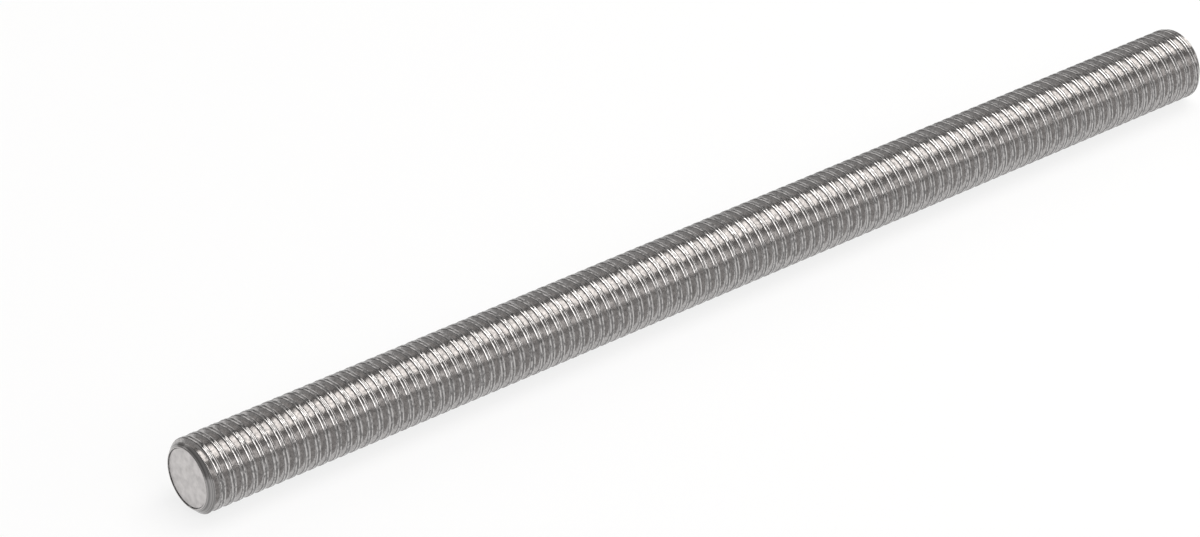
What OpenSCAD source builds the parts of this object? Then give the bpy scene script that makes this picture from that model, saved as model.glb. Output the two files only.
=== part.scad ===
// Fully threaded rod: one round stainless bar with a right-hand metric thread along its whole length.
// It lies along X with its middle at the origin. Both ends are cut square and chamfered.

/* [Rod] */
// Outer diameter over the thread crests
thread_d = 7.8; // [6:0.1:12]
// Overall length from cut face to cut face
rod_l = 130; // [40:5:160]

/* [Thread] */
// Distance along the rod from one turn to the next
pitch = 1.25; // [1:0.05:1.5]
// Angle between the two flanks of the groove
flank_angle = 60; // [50:1:64]
// Width of the flat that rolling leaves along each crest
crest_w = 0.25; // [0.15:0.05:0.4]
// Turn about the axis at which the groove leaves the first end face
thread_start = 273; // [0:1:359]

/* [Ends] */
// Radial depth of the chamfer round each cut face
chamfer = 0.7; // [0.5:0.05:1.2]
// Angle of the chamfer from the rod's axis
chamfer_angle = 45; // [30:1:60]

/* [Hidden] */

// Metric thread form: straight flanks down to a flat root a sixth of the pitch wide.
root_share = 1 / 6;
mouth_w = pitch - crest_w;
groove_depth = (mouth_w - root_share * pitch) / 2 / tan(flank_angle / 2);
crest_r = thread_d / 2;
root_r = crest_r - groove_depth;

// The groove is swept in straight steps, and its facets are shared out over all its turns.
overrun = 1;
turns = rod_l / pitch + 2 * overrun;
facet_budget = 11900;
facets_per_step = 8;
steps = floor(facet_budget / (facets_per_step * turns));
step_count = ceil(turns * steps);

// A step's corners stand further out than its middle, so no step cuts below the root
// and the crests keep their width on average.
corner_out = 1 / cos(180 / steps);
air = 0.02;
floor_r = root_r * corner_out;
top_r = (crest_r + air) * corner_out;
mean_crest_r = crest_r * (1 + corner_out) / 2;

chamfer_l = chamfer / tan(chamfer_angle);
face_r = crest_r - chamfer;
smooth = 96;

// Half the groove's width at a radius
function half_groove(r) = mouth_w / 2 + (r - mean_crest_r) * tan(flank_angle / 2);

// Corners of the groove's section: its floor, then its open side
section = [
    [floor_r, -half_groove(floor_r)],
    [floor_r, half_groove(floor_r)],
    [top_r, half_groove(top_r)],
    [top_r, -half_groove(top_r)]
];
corners = len(section);

// A section corner carried along the helix to a step
function on_helix(corner, step) =
    let (turn = step / steps - overrun, angle = thread_start + 360 * turn)
    [pitch * turn - rod_l / 2 + corner.y, corner.x * cos(angle), corner.x * sin(angle)];

// The four walls between one step and the next
function step_walls(step) = [
    for (side = [0:corners - 1])
    let (a = corners * step + side, b = corners * step + (side + 1) % corners)
    each [[b, a, b + corners], [b + corners, a, a + corners]]
];

// The helical groove, running past both ends of the rod
module groove() {
    first_cap = [for (side = [0:corners - 1]) side];
    last_cap = [for (side = [corners - 1:-1:0]) corners * step_count + side];
    polyhedron(
        points = [for (step = [0:step_count]) for (corner = section) on_helix(corner, step)],
        faces = concat([first_cap], [for (step = [0:step_count - 1]) each step_walls(step)], [last_cap])
    );
}

// The bar before threading, with its chamfered ends
module blank() {
    half_l = rod_l / 2;
    shoulder = half_l - chamfer_l;
    rotate([0, 90, 0])
        rotate_extrude($fn = smooth)
            polygon([
                [0, -half_l],
                [face_r, -half_l],
                [crest_r, -shoulder],
                [crest_r, shoulder],
                [face_r, half_l],
                [0, half_l]
            ]);
}

module threaded_rod() {
    color([0.62, 0.60, 0.58])
        difference() {
            blank();
            groove();
        }
}

threaded_rod();
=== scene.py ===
"""Looks of a fully threaded stainless rod: its rolled thread, its cut ends and a white studio."""
import math

import bmesh
import bpy
from bpy.props import FloatProperty, FloatVectorProperty, IntProperty, PointerProperty
from mathutils import Matrix, Vector


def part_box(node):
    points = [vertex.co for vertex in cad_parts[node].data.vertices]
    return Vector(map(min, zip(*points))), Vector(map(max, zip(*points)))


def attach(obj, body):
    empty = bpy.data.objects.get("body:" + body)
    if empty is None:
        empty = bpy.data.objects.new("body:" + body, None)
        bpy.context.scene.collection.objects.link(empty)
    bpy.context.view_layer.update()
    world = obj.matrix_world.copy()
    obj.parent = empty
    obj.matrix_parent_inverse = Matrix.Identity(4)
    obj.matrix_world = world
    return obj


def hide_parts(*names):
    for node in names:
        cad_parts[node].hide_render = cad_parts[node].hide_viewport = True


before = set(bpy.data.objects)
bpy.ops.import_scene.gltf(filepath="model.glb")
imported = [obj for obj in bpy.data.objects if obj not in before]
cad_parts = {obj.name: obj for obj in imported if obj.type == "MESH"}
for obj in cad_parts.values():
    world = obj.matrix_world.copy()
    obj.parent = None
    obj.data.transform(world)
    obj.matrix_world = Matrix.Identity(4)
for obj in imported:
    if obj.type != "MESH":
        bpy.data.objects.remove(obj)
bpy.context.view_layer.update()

MM = 0.001
ROD_NODE = "threaded_rod"
ROD_LOW, ROD_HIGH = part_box(ROD_NODE)

# Points closer together than this, in metres, are one
SAME_PLACE = 1e-7

# The size of the picture that the camera frames, in pixels
PICTURE_W, PICTURE_H = 1200, 537

# The places of the five finishes in the rod's list of materials; the crests' and the burr's finishes
# carry painted shade
ROLLED, WORN, TURNED, CUT, BURR = range(5)

# How much the fine lines along the thread count in its relief, where its grain counts 1
LINE_RELIEF = 0.2

bl_info = {
    "name": "Threaded Rod",
    "version": (1, 0, 0),
    "blender": (4, 5, 0),
    "location": "View3D > Sidebar > Rod",
    "description": "Builds a fully threaded stainless rod with cut ends, on a white studio floor",
    "category": "Add Mesh",
}


class RodSizes(bpy.types.PropertyGroup):
    """Sizes of the rod and its thread"""
    length: FloatProperty(
        name="Length", description="From cut face to cut face",
        default=ROD_HIGH.x - ROD_LOW.x, unit="LENGTH")
    diameter: FloatProperty(
        name="Diameter", description="Over the thread crests",
        default=7.8 * MM, unit="LENGTH")
    pitch: FloatProperty(
        name="Pitch", description="Along the rod from one turn to the next",
        default=1.25 * MM, unit="LENGTH")
    flank_angle: FloatProperty(
        name="Flank angle", description="Between the two flanks of the groove",
        default=math.radians(60), subtype="ANGLE")
    thread_start: FloatProperty(
        name="Thread start", description="Turn at which the groove leaves the first end face",
        default=math.radians(273), subtype="ANGLE")
    lip_gap: FloatProperty(
        name="Lip gap", description="Between the tops of the two lips along each crest",
        default=0.33 * MM, unit="LENGTH")
    lip_face: FloatProperty(
        name="Lip face", description="Width of the sloping outer face of each lip",
        default=0.09 * MM, unit="LENGTH")
    lip_slope: FloatProperty(
        name="Lip slope", description="Slope of the outer face of each lip",
        default=math.radians(15), subtype="ANGLE")
    lip_round: FloatProperty(
        name="Lip rounding", description="Radius of the edges of each lip's outer face",
        default=0.06 * MM, unit="LENGTH")
    lip_wear: FloatProperty(
        name="Lip wear", description="Depth below the crest down to which the lips are worn bright",
        default=0.015 * MM, unit="LENGTH")
    seam_slope: FloatProperty(
        name="Seam slope", description="Steepest slope of the shallow seam between the two lips",
        default=math.radians(26), subtype="ANGLE")
    seam_round: FloatProperty(
        name="Seam rounding", description="Radius of the sides of the seam",
        default=0.12 * MM, unit="LENGTH")
    # Painted shade: the crests and their seams are coloured dark down to this depth, fading out over
    # the next size
    crest_shade_depth: FloatProperty(
        name="Burnish depth", description="Depth below the crest at which its burnish has faded out",
        default=0.11 * MM, unit="LENGTH")
    crest_shade_fade: FloatProperty(
        name="Burnish fade", description="Depth over which the burnish fades",
        default=0.04 * MM, unit="LENGTH")
    root_round: FloatProperty(
        name="Root rounding", description="Radius of the bottom of the groove",
        default=0.05 * MM, unit="LENGTH")
    chamfer: FloatProperty(
        name="Chamfer", description="Radial depth of the chamfer round each cut face",
        default=0.7 * MM, unit="LENGTH")
    chamfer_angle: FloatProperty(
        name="Chamfer angle", description="From the rod's axis",
        default=math.radians(45), subtype="ANGLE")
    rim_round: FloatProperty(
        name="Rim rounding", description="Width of the worn edge between each chamfer and its burr",
        default=0.06 * MM, unit="LENGTH")
    burr_width: FloatProperty(
        name="Burr width", description="Width of the burr that cutting leaves round each cut face",
        default=0.18 * MM, unit="LENGTH")
    burr_height: FloatProperty(
        name="Burr height", description="How far the burr stands above the cut face",
        default=0.1 * MM, unit="LENGTH")
    steps: IntProperty(
        name="Thread steps", description="Steps round one turn of the thread", default=34)
    end_steps: IntProperty(
        name="End steps", description="Steps round each chamfer and cut face", default=160)
    sharp_angle: FloatProperty(
        name="Sharp angle", description="Edges that turn by more than this are shaded as sharp",
        default=math.radians(35), subtype="ANGLE")


class RodFinish(bpy.types.PropertyGroup):
    """Colours and gloss of the steel"""
    steel: FloatVectorProperty(
        name="Steel", description="Colour of the flanks of the thread", subtype="COLOR",
        default=(0.48, 0.466, 0.459))
    stain: FloatVectorProperty(
        name="Stain", description="Mid grey of the specks, the streaks, the rings and the burr's nicks",
        subtype="COLOR", default=(0.35, 0.34, 0.336))
    worn: FloatVectorProperty(
        name="Worn lips", description="Colour of the lips, worn bright", subtype="COLOR",
        default=(0.5, 0.485, 0.478))
    # Painted shade: this dark colour darkens the crests and their seams, so that they stay dark where
    # they mirror the white floor; it also colours the lips' nicks and the chamfers' rings
    shade_and_marks: FloatVectorProperty(
        name="Burnish", description="Dark colour of the seams, the lips' nicks and the chamfers",
        subtype="COLOR", default=(0.15, 0.1455, 0.1435))
    cut: FloatVectorProperty(
        name="Cut face", description="Colour of the cut ends", subtype="COLOR",
        default=(0.66, 0.637, 0.629))
    smear: FloatVectorProperty(
        name="Smear", description="Colour of the duller patches of the cut ends", subtype="COLOR",
        default=(0.5, 0.482, 0.476))
    # Painted shade: the burr round each cut face is coloured dark all round, for the shade at the edge
    # of the cut ends
    burr: FloatVectorProperty(
        name="Burr", description="Colour of the dark edge round the cut ends", subtype="COLOR",
        default=(0.1, 0.097, 0.096))
    flank_roughness: FloatProperty(
        name="Flank roughness", description="Roughness of the flanks, and of nicks and rings",
        default=0.17, subtype="FACTOR")
    crest_roughness: FloatProperty(
        name="Crest roughness", description="Roughness of the crests, the chamfers and the burrs",
        default=0.1, subtype="FACTOR")
    cut_roughness: FloatProperty(
        name="Cut roughness", description="Roughness of the cut ends",
        default=0.48, subtype="FACTOR")
    unevenness: FloatProperty(
        name="Unevenness", description="How far the roughness of flanks and cut ends varies",
        default=0.05, subtype="FACTOR")


class StudioSettings(bpy.types.PropertyGroup):
    """The camera, the floor and the lamps"""
    azimuth: FloatProperty(
        name="Azimuth", description="Turn of the camera about the vertical",
        default=math.radians(-38.78), subtype="ANGLE")
    elevation: FloatProperty(
        name="Elevation", description="Height of the camera above the horizon",
        default=math.radians(31.26), subtype="ANGLE")
    focal_px: FloatProperty(
        name="Focal length", description="In pixels of the picture", default=6020.0)
    near_end_px: FloatVectorProperty(
        name="Near end", description="Pixel of the picture where the near end's middle shows",
        size=2, default=(186.75, 478.57))
    near_end_depth: FloatProperty(
        name="Near end depth", description="From the camera to the near end, along the view",
        default=574.3 * MM, unit="LENGTH")
    floor_radius: FloatProperty(
        name="Floor", description="Radius of the floor", default=3.0, unit="LENGTH")
    floor_paper: FloatVectorProperty(
        name="Floor paper", description="Colour of the floor, which takes the shadow",
        subtype="COLOR", default=(0.8, 0.8, 0.8))
    floor_white: FloatProperty(
        name="Floor white", description="Share of the floor's look that is plain white",
        default=0.8, subtype="FACTOR")
    room_tint: FloatVectorProperty(
        name="Room", description="Tint of the room round the lamps", subtype="COLOR",
        default=(1.0, 0.99, 0.985))
    wall_glow: FloatProperty(
        name="Walls", description="Brightness of the room at the horizon, where 1 is white",
        default=0.42)
    ceiling_glow: FloatProperty(
        name="Ceiling", description="Brightness of the room overhead, where 1 is white",
        default=0.36)
    ceiling_edge: FloatProperty(
        name="Ceiling edge", description="Where the ceiling starts: 0 is the horizon, 1 straight up",
        default=0.8, subtype="FACTOR")
    key_tint: FloatVectorProperty(
        name="Key tint", description="Tint of the overhead softbox", subtype="COLOR",
        default=(1.0, 0.99, 0.97))
    panel_tint: FloatVectorProperty(
        name="Panel tint", description="Tint of the other lamps", subtype="COLOR",
        default=(1.0, 0.99, 0.98))
    key_glow: FloatProperty(
        name="Key", description="Brightness of the overhead softbox, where 1 is white", default=4.4)
    front_glow: FloatProperty(
        name="Front", description="Brightness of the small front lamp, where 1 is white", default=1.4)
    fill_glow: FloatProperty(
        name="Fill", description="Brightness of the broad front panel, where 1 is white", default=0.3)
    top_glow: FloatProperty(
        name="Top", description="Brightness of the high front panel, where 1 is white", default=2.5)
    back_glow: FloatProperty(
        name="Back", description="Brightness of the broad panel behind, where 1 is white", default=0.6)


def verts_of(geom):
    """The vertices among the parts that an operator made."""
    return [part for part in geom if isinstance(part, bmesh.types.BMVert)]


def everything(bm):
    """All the parts of a bmesh, as the operators take them."""
    return bm.verts[:] + bm.edges[:] + bm.faces[:]


def draw_arc(bm, start, centre, angle, steps=2):
    """Draws an arc in the XY plane from a vertex, and returns the vertex at its end."""
    swept = bmesh.ops.spin(bm, geom=[start], cent=centre, axis=(0, 0, 1), angle=angle, steps=steps)
    return verts_of(swept["geom_last"])[0]


def draw_line(bm, start, end, stops=()):
    """Draws a line from a vertex to a point, with vertices at its stops, and returns the last one."""
    begin, reach = start.co.copy(), Vector(end) - start.co
    for share in (*stops, 1):
        start = bmesh.ops.extrude_vert_indiv(bm, verts=[start])["verts"][0]
        bmesh.ops.translate(bm, verts=[start], vec=begin + reach * share - start.co)
    return start


def draw_thread_form(bm, sizes):
    """Draws one pitch of the thread form in the XY plane, from the middle of one root to the next."""
    lean = sizes.flank_angle / 2
    steep = math.pi / 2 - lean
    slope, dip = sizes.lip_slope, sizes.seam_slope
    pitch, edge, side, root = sizes.pitch, sizes.lip_round, sizes.seam_round, sizes.root_round

    # The centres of the arcs, the top of the first lip's face and the ends of the first flank
    lip = Vector(((pitch - sizes.lip_gap) / 2, sizes.diameter / 2 - edge, 0))
    across = Vector((math.cos(slope), math.sin(slope), 0)) * sizes.lip_face
    shoulder = lip - across
    brow = lip + Vector((0, edge - side, 0))
    seam = brow + Vector((math.sin(dip), math.cos(dip), 0)) * 2 * side
    face_top = lip + Vector((-math.sin(slope), math.cos(slope), 0)) * edge
    flank_top = shoulder + Vector((-math.sin(steep), math.cos(steep), 0)) * edge
    groove = Vector((0, flank_top.y - flank_top.x / math.tan(lean) + root / math.sin(lean), 0))
    flank_foot = groove + Vector((math.sin(steep), -math.cos(steep), 0)) * root

    def opposite(point):
        """The mirror image of a point on the other side of the crest."""
        return Vector((pitch - point.x, point.y, 0))

    # Vertices close to both ends of a flank keep its shading flat between them
    flat_stops = (0.06, 0.94)
    pen = bm.verts.new(groove - Vector((0, root, 0)))
    pen = draw_arc(bm, pen, groove, steep)
    pen = draw_line(bm, pen, flank_top, flat_stops)
    pen = draw_arc(bm, pen, shoulder, slope - steep)
    pen = draw_line(bm, pen, face_top)
    pen = draw_arc(bm, pen, lip, -slope, steps=1)
    pen = draw_arc(bm, pen, brow, -dip)
    pen = draw_arc(bm, pen, seam, dip)
    pen = draw_line(bm, pen, opposite(seam) - Vector((0, side, 0)))
    pen = draw_arc(bm, pen, opposite(seam), dip)
    pen = draw_arc(bm, pen, opposite(brow), -dip)
    pen = draw_arc(bm, pen, opposite(lip), -slope, steps=1)
    pen = draw_line(bm, pen, opposite(face_top - across))
    pen = draw_arc(bm, pen, opposite(shoulder), slope - steep)
    pen = draw_line(bm, pen, opposite(flank_foot), flat_stops)
    draw_arc(bm, pen, opposite(groove), steep)


def close_end(bm, end_x):
    """Cuts a bar off square at a place along X, on the side away from the origin, and closes it."""
    outwards = (math.copysign(1, end_x), 0, 0)
    cut = bmesh.ops.bisect_plane(
        bm, geom=everything(bm), dist=SAME_PLACE / 10, plane_co=(end_x, 0, 0), plane_no=outwards,
        clear_outer=True)
    rim = [part for part in cut["geom_cut"] if isinstance(part, bmesh.types.BMEdge)]
    bmesh.ops.edgeloop_fill(bm, edges=rim)


def rolled_thread(sizes):
    """The thread as a closed helical bar, a little longer than the rod."""
    bm = bmesh.new()
    draw_thread_form(bm, sizes)
    bmesh.ops.spin(
        bm, geom=everything(bm), cent=(0, 0, 0), axis=(1, 0, 0), angle=math.tau,
        steps=sizes.steps, dvec=(sizes.pitch / sizes.steps, 0, 0))

    # The turns are doubled until there are some to spare at both ends
    spare = 2
    turns, needed = 1, math.ceil(sizes.length / sizes.pitch) + 2 * spare
    while turns < needed:
        copied = bmesh.ops.duplicate(bm, geom=everything(bm))
        bmesh.ops.translate(bm, verts=verts_of(copied["geom"]), vec=(turns * sizes.pitch, 0, 0))
        turns *= 2
    bmesh.ops.remove_doubles(bm, verts=bm.verts, dist=SAME_PLACE)
    first_root = -sizes.length / 2 - sizes.pitch * (sizes.thread_start / math.tau + spare)
    bmesh.ops.translate(bm, verts=bm.verts, vec=(first_root, 0, 0))
    past_end = sizes.length / 2 + sizes.pitch / 4
    for end_x in (-past_end, past_end):
        close_end(bm, end_x)
    bmesh.ops.recalc_face_normals(bm, faces=bm.faces)

    # The middle of a flat step lies a little inside the circle of its corners
    worn_r = (sizes.diameter / 2 - sizes.lip_wear) * math.cos(math.pi / sizes.steps)
    for face in bm.faces:
        worn = face.calc_center_median().yz.length > worn_r
        face.material_index = WORN if worn else ROLLED
    return bm


def chamfered_bar(sizes):
    """A turned bar with chamfered ends and burred cut faces, which trims the thread to length."""
    # The bar stands proud of the crests, so that it trims only the ends
    proud = 0.2 * MM
    crest_r = sizes.diameter / 2
    rim_r = crest_r - sizes.chamfer
    face_r = rim_r - sizes.burr_width
    ridge_r = face_r + sizes.burr_height
    end_x = sizes.length / 2
    face_x = end_x - sizes.burr_height
    shoulder_x = end_x - (sizes.chamfer + proud) / math.tan(sizes.chamfer_angle)
    # Half of the outline, from the shoulder to the axis, each point along X and by its radius
    half = [
        (shoulder_x, crest_r + proud), (end_x, rim_r), (end_x, ridge_r), (face_x, face_r), (face_x, 0),
    ]
    outline = [(-x, r) for x, r in reversed(half)] + half

    bm = bmesh.new()
    pen = bm.verts.new((*outline[0], 0))
    for x, r in outline[1:]:
        pen = draw_line(bm, pen, (x, r, 0))
    bmesh.ops.spin(
        bm, geom=everything(bm), cent=(0, 0, 0), axis=(1, 0, 0), angle=math.tau,
        steps=sizes.end_steps, use_merge=True)
    bmesh.ops.remove_doubles(bm, verts=bm.verts, dist=SAME_PLACE)

    def on_rim(vert):
        """Whether a vertex lies on the edge between a chamfer and its burr."""
        off_end, off_rim = abs(vert.co.x) - end_x, vert.co.yz.length - rim_r
        return abs(off_end) < SAME_PLACE and abs(off_rim) < SAME_PLACE

    rims = [edge for edge in bm.edges if all(on_rim(vert) for vert in edge.verts)]
    bmesh.ops.bevel(
        bm, geom=rims, offset=sizes.rim_round, affect="EDGES", segments=3, profile=0.5, material=-1)
    bmesh.ops.recalc_face_normals(bm, faces=bm.faces)
    for face in bm.faces:
        r = face.calc_center_median().yz.length
        # The burr's faces take the dark finish that paints the shade of the edge
        if face_r < r < ridge_r:
            face.material_index = BURR
        else:
            face.material_index = CUT if r < rim_r else TURNED
    return bm


def place(bm, name, materials):
    """Makes a mesh object of a bmesh, at the origin and with its materials."""
    mesh = bpy.data.meshes.new(name)
    bm.to_mesh(mesh)
    bm.free()
    for material in materials:
        mesh.materials.append(material)
    piece = bpy.data.objects.new(name, mesh)
    bpy.context.scene.collection.objects.link(piece)
    return piece


def add_node(material, kind, inputs=(), **settings):
    """Adds a shader node, with its settings and with values or links for its inputs."""
    tree = material.node_tree
    node = tree.nodes.new("ShaderNode" + kind)
    for name, value in settings.items():
        setattr(node, name, value)
    for name, value in dict(inputs).items():
        if isinstance(value, bpy.types.NodeSocket):
            tree.links.new(value, node.inputs[name])
        else:
            node.inputs[name].default_value = value
    return node


def new_material(name):
    """A material with an empty node tree."""
    material = bpy.data.materials.new(name)
    material.use_nodes = True
    material.node_tree.nodes.clear()
    return material


def grain(material, size, squeeze=(1, 1, 1), detail=3.0):
    """Noise on the object's own coordinates, of a size in metres and finer by squeeze on each axis."""
    where = add_node(material, "TexCoord")
    mapped = add_node(material, "Mapping", {"Vector": where.outputs["Object"], "Scale": squeeze})
    return add_node(
        material, "TexNoise",
        {"Vector": mapped.outputs["Vector"], "Scale": 1 / size, "Detail": detail}).outputs["Fac"]


def thread_lines(material):
    """Fine lines that run round the rod along the thread."""
    return grain(material, size=0.9 * MM, squeeze=(40, 1, 1), detail=2.0)


def remap(material, value, low, high, to_low=0, to_high=1):
    """Carries a value from one range to another."""
    return add_node(
        material, "MapRange",
        {"Value": value, "From Min": low, "From Max": high, "To Min": to_low, "To Max": to_high},
    ).outputs["Result"]


def combine(material, operation, *values):
    """The result of a maths operation on values."""
    return add_node(material, "Math", dict(enumerate(values)), operation=operation).outputs["Value"]


def blend_colours(material, share, first, second):
    """A colour between two, by a share from 0 to 1."""
    mix = add_node(material, "Mix", data_type="RGBA")
    material.node_tree.links.new(share, mix.inputs["Factor"])
    for end, colour in ((mix.inputs[6], first), (mix.inputs[7], second)):
        if isinstance(colour, bpy.types.NodeSocket):
            material.node_tree.links.new(colour, end)
        else:
            end.default_value = (*colour, 1)
    return mix.outputs[2]


def axis_distance(material):
    """The distance of a point from the rod's axis."""
    where = add_node(material, "TexCoord").outputs["Object"]
    across = add_node(material, "VectorMath", {0: where, 1: (0, 1, 1)}, operation="MULTIPLY")
    distance = add_node(material, "VectorMath", {0: across.outputs["Vector"]}, operation="LENGTH")
    return distance.outputs["Value"]


def mixed_roughness(material, noise, finish):
    """The crests' roughness where a noise is low, rising to the flanks' roughness where it is high."""
    return remap(material, noise, 0.3, 0.7, finish.crest_roughness, finish.flank_roughness)


def finish_steel(material, colour, roughness, height, depth):
    """Closes a steel material: its colour, gloss and fine relief on one metal shader."""
    relief = add_node(material, "Bump", {"Height": height, "Distance": depth, "Strength": 1.0})
    metal = add_node(material, "BsdfPrincipled", {
        "Base Color": colour, "Metallic": 1.0, "Roughness": roughness,
        "Normal": relief.outputs["Normal"]})
    output = add_node(material, "OutputMaterial")
    material.node_tree.links.new(metal.outputs["BSDF"], output.inputs["Surface"])
    return material


def rolled_steel(finish, sizes):
    """Rolled stainless: mottled flanks, and crests darkened as painted shade, with streaks and small
    dents.
    """
    material = new_material("rolled_steel")
    # Painted shade: the crests and their seams take a dark colour down to the shade depth, so that they
    # stay dark where they mirror the white floor
    faded_r = sizes.diameter / 2 - sizes.crest_shade_depth
    crest = remap(material, axis_distance(material), faded_r, faded_r + sizes.crest_shade_fade)
    specks = grain(material, size=0.3 * MM, detail=4.0)
    lines = thread_lines(material)
    dents = remap(material, grain(material, size=0.7 * MM, detail=1.0), 0.62, 0.74)

    flank_specks = remap(material, specks, 0.4, 0.66)
    flank_colour = blend_colours(material, flank_specks, finish.steel, finish.stain)
    speck_weight = 1.5
    streaks = combine(material, "MULTIPLY_ADD", specks, speck_weight, lines)
    # The crests' painted shade, broken by real mid-grey streaks
    crest_streaks = remap(material, streaks, 1.25, 1.6)
    crest_colour = blend_colours(material, crest_streaks, finish.shade_and_marks, finish.stain)
    colour = blend_colours(material, crest, flank_colour, crest_colour)

    rough, uneven = finish.flank_roughness, finish.unevenness
    flank_roughness = remap(material, specks, 0.35, 0.65, rough - uneven, rough + uneven)
    roughness = remap(material, crest, 0, 1, flank_roughness, finish.crest_roughness)

    ripple = combine(material, "MULTIPLY_ADD", lines, LINE_RELIEF, specks)
    height = combine(material, "SUBTRACT", ripple, combine(material, "MULTIPLY", dents, crest))
    return finish_steel(material, colour, roughness, height, depth=0.008 * MM)


def worn_steel(finish):
    """Stainless worn bright, with dark nicks and fine lines along the thread."""
    material = new_material("worn_steel")
    nicks = grain(material, size=0.45 * MM)
    colour = blend_colours(material, remap(material, nicks, 0.45, 0.68), finish.worn, finish.shade_and_marks)
    roughness = mixed_roughness(material, nicks, finish)
    ripple = combine(material, "MULTIPLY_ADD", thread_lines(material), LINE_RELIEF, nicks)
    return finish_steel(material, colour, roughness, ripple, depth=0.008 * MM)


def turned_steel(finish):
    """Turned stainless, with fine rings round the axis."""
    material = new_material("turned_steel")
    ring_width = 0.12 * MM
    rings = add_node(
        material, "TexNoise", {"W": axis_distance(material), "Scale": 1 / ring_width, "Detail": 2.0},
        noise_dimensions="1D").outputs["Fac"]
    colour = blend_colours(material, remap(material, rings, 0.35, 0.65), finish.shade_and_marks, finish.stain)
    roughness = mixed_roughness(material, rings, finish)
    return finish_steel(material, colour, roughness, rings, depth=0.02 * MM)


def cut_steel(finish):
    """Satin cut steel, with faint patches and fine straight marks."""
    material = new_material("cut_steel")
    patches = grain(material, size=0.7 * MM, detail=5.0)
    marks = grain(material, size=1.2 * MM, squeeze=(1, 18, 3))
    colour = blend_colours(material, remap(material, patches, 0.35, 0.7), finish.cut, finish.smear)
    rough, uneven = finish.cut_roughness, finish.unevenness
    roughness = remap(material, marks, 0.3, 0.7, rough - uneven, rough + uneven)
    return finish_steel(material, colour, roughness, marks, depth=0.0015 * MM)


def shaded_burr_steel(finish):
    """Torn steel of the burr, dark as painted shade of the cut ends' edges, with small brighter nicks.
    """
    material = new_material("shaded_burr_steel")
    nicks = grain(material, size=0.5 * MM)
    colour = blend_colours(material, remap(material, nicks, 0.5, 0.75), finish.burr, finish.stain)
    roughness = mixed_roughness(material, nicks, finish)
    return finish_steel(material, colour, roughness, nicks, depth=0.01 * MM)


def drop_slivers(mesh):
    """Takes out the edges of almost no length that trimming leaves in a mesh."""
    bm = bmesh.new()
    bm.from_mesh(mesh)
    bmesh.ops.dissolve_degenerate(bm, dist=2 * SAME_PLACE, edges=bm.edges)
    bm.to_mesh(mesh)
    bm.free()


def trim_ends(context, rod, bar):
    """Keeps the part of the rod that lies inside the bar, with the bar's finishes on the cuts."""
    trim = rod.modifiers.new("trim", "BOOLEAN")
    trim.operation = "INTERSECT"
    trim.solver = "EXACT"
    trim.material_mode = "TRANSFER"
    trim.object = bar
    with context.temp_override(object=rod, active_object=rod):
        bpy.ops.object.modifier_apply(modifier=trim.name)
    bpy.data.objects.remove(bar)
    drop_slivers(rod.data)


class RodBuilder(bpy.types.Operator):
    """Build the threaded rod"""
    bl_idname = "rod.build_rod"
    bl_label = "Threaded rod"

    def execute(self, context):
        sizes, finish = context.scene.rod_sizes, context.scene.rod_finish
        materials = [
            rolled_steel(finish, sizes), worn_steel(finish), turned_steel(finish),
            cut_steel(finish), shaded_burr_steel(finish),
        ]
        rod = place(rolled_thread(sizes), "rod_body", materials)
        bar = place(chamfered_bar(sizes), "trimming_bar", materials)
        trim_ends(context, rod, bar)
        rod.data.shade_smooth()
        rod.data.set_sharp_from_angle(angle=sizes.sharp_angle)
        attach(rod, "root")
        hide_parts(ROD_NODE)
        return {"FINISHED"}


def studio_floor(settings):
    """A pale floor that shows as white and keeps a soft shadow."""
    material = new_material("studio_floor")
    rays = add_node(material, "LightPath").outputs
    seen = combine(material, "MAXIMUM", rays["Is Camera Ray"], rays["Is Glossy Ray"])
    seen = combine(material, "MAXIMUM", seen, rays["Is Transmission Ray"])
    share = combine(material, "MULTIPLY", seen, settings.floor_white)
    paper = add_node(material, "BsdfDiffuse", {"Color": (*settings.floor_paper, 1)})
    white = add_node(material, "Emission", {"Color": (1, 1, 1, 1), "Strength": 1.0})
    mix = add_node(material, "MixShader", {
        0: share, 1: paper.outputs["BSDF"], 2: white.outputs["Emission"]})
    output = add_node(material, "OutputMaterial")
    material.node_tree.links.new(mix.outputs["Shader"], output.inputs["Surface"])
    return material


def lay_floor(settings):
    """Lays the floor under the rod."""
    bm = bmesh.new()
    bmesh.ops.create_circle(bm, cap_ends=True, segments=96, radius=settings.floor_radius)
    bmesh.ops.translate(bm, verts=bm.verts, vec=(0, 0, ROD_LOW.z))
    floor = place(bm, "studio_floor", [studio_floor(settings)])


def set_room(settings):
    """Fills the room with soft light that changes a little from the walls to the ceiling."""
    world = bpy.data.worlds.new("studio_room")
    world.use_nodes = True
    world.node_tree.nodes.clear()
    towards = add_node(world, "TexCoord").outputs["Generated"]
    height = add_node(world, "SeparateXYZ", {"Vector": towards}).outputs["Z"]
    glow = remap(world, height, 0, settings.ceiling_edge, settings.wall_glow, settings.ceiling_glow)
    room = add_node(world, "Background", {"Color": (*settings.room_tint, 1), "Strength": glow})
    output = add_node(world, "OutputWorld")
    world.node_tree.links.new(room.outputs["Background"], output.inputs["Surface"])
    bpy.context.scene.world = world


def hang_lamp(name, towards, distance, width, height, glow, tint):
    """Hangs a flat rectangular lamp in a direction from the rod, facing the rod."""
    lamp = bpy.data.lights.new(name, "AREA")
    lamp.shape = "RECTANGLE"
    lamp.size, lamp.size_y = width, height
    # The power at which a flat lamp of this size is as bright as its glow
    lamp.energy = glow * math.pi * width * height
    lamp.color = tint
    holder = bpy.data.objects.new(name, lamp)
    holder.location = Vector(towards).normalized() * distance
    holder.rotation_euler = (-holder.location).to_track_quat("-Z", "Y").to_euler()
    holder.visible_camera = False
    bpy.context.scene.collection.objects.link(holder)


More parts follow.
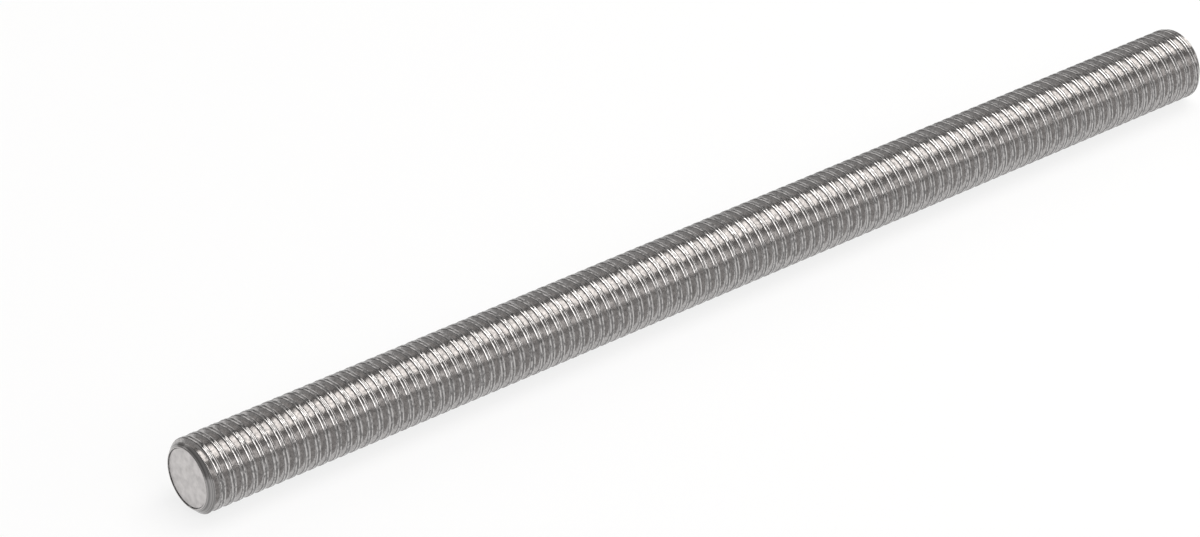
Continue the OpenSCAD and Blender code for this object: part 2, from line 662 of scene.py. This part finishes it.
def hang_lamps(settings):
    """Hangs the softbox above the rod, and the panels in front of it and behind it."""
    hang_lamp(
        "key_softbox", towards=(0.35, -0.05, 0.935), distance=0.6, width=0.396, height=0.46,
        glow=settings.key_glow, tint=settings.key_tint)
    hang_lamp(
        "front_lamp", towards=(0.534, -0.76, 0.37), distance=0.6, width=0.26, height=0.24,
        glow=settings.front_glow, tint=settings.panel_tint)
    hang_lamp(
        "front_panel", towards=(0.534, -0.781, 0.325), distance=0.8, width=0.7, height=0.74,
        glow=settings.fill_glow, tint=settings.panel_tint)
    hang_lamp(
        "top_panel", towards=(-0.05, -0.74, 0.66), distance=0.8, width=0.36, height=0.76,
        glow=settings.top_glow, tint=settings.panel_tint)
    hang_lamp(
        "back_panel", towards=(0.05, 0.77, 0.64), distance=0.8, width=1.3, height=0.5,
        glow=settings.back_glow, tint=settings.panel_tint)


def set_camera(settings):
    """Sets up the camera so that the near end of the rod falls on its pixel."""
    turn, lift = settings.azimuth, settings.elevation
    right = Vector((math.cos(turn), math.sin(turn), 0))
    level = Vector((-math.sin(turn), math.cos(turn), 0))
    forward = level * math.cos(lift) - Vector((0, 0, math.sin(lift)))
    up = right.cross(forward)
    across = (settings.near_end_px[0] - PICTURE_W / 2) / settings.focal_px
    down = (settings.near_end_px[1] - PICTURE_H / 2) / settings.focal_px
    near_end = Vector((ROD_LOW.x, 0, 0))
    spot = near_end - (right * across - up * down + forward) * settings.near_end_depth
    facing = Matrix((right, up, -forward)).transposed().to_4x4()

    camera = bpy.data.cameras.new("photo_camera")
    camera.sensor_fit = "HORIZONTAL"
    camera.lens = settings.focal_px * camera.sensor_width / PICTURE_W
    holder = bpy.data.objects.new("photo_camera", camera)
    holder.matrix_world = Matrix.Translation(spot) @ facing
    bpy.context.scene.collection.objects.link(holder)
    bpy.context.scene.camera = holder


class StudioBuilder(bpy.types.Operator):
    """Set up the floor, the lamps and the camera"""
    bl_idname = "rod.build_studio"
    bl_label = "Studio"

    def execute(self, context):
        settings = context.scene.rod_studio
        context.scene.view_settings.view_transform = "Standard"
        set_room(settings)
        lay_floor(settings)
        hang_lamps(settings)
        set_camera(settings)
        return {"FINISHED"}


class RodPanel(bpy.types.Panel):
    """The rod's builders and their settings"""
    bl_label = "Threaded Rod"
    bl_idname = "VIEW3D_PT_threaded_rod"
    bl_space_type = "VIEW_3D"
    bl_region_type = "UI"
    bl_category = "Rod"

    def draw(self, context):
        scene = context.scene
        for builder, groups in (
            (RodBuilder, (scene.rod_sizes, scene.rod_finish)),
            (StudioBuilder, (scene.rod_studio,)),
        ):
            self.layout.operator(builder.bl_idname)
            for group in groups:
                for name in group.__annotations__:
                    self.layout.prop(group, name)


CLASSES = (RodSizes, RodFinish, StudioSettings, RodBuilder, StudioBuilder, RodPanel)


def register():
    """Registers the classes and hangs their settings on the scene."""
    for cls in CLASSES:
        bpy.utils.register_class(cls)
    bpy.types.Scene.rod_sizes = PointerProperty(type=RodSizes)
    bpy.types.Scene.rod_finish = PointerProperty(type=RodFinish)
    bpy.types.Scene.rod_studio = PointerProperty(type=StudioSettings)


def unregister():
    """Takes the settings and the classes away again."""
    del bpy.types.Scene.rod_studio
    del bpy.types.Scene.rod_finish
    del bpy.types.Scene.rod_sizes
    for cls in reversed(CLASSES):
        bpy.utils.unregister_class(cls)


def main():
    """Builds the rod and its studio."""
    register()
    bpy.ops.rod.build_rod()
    bpy.ops.rod.build_studio()


if __name__ == "__main__":
    main()
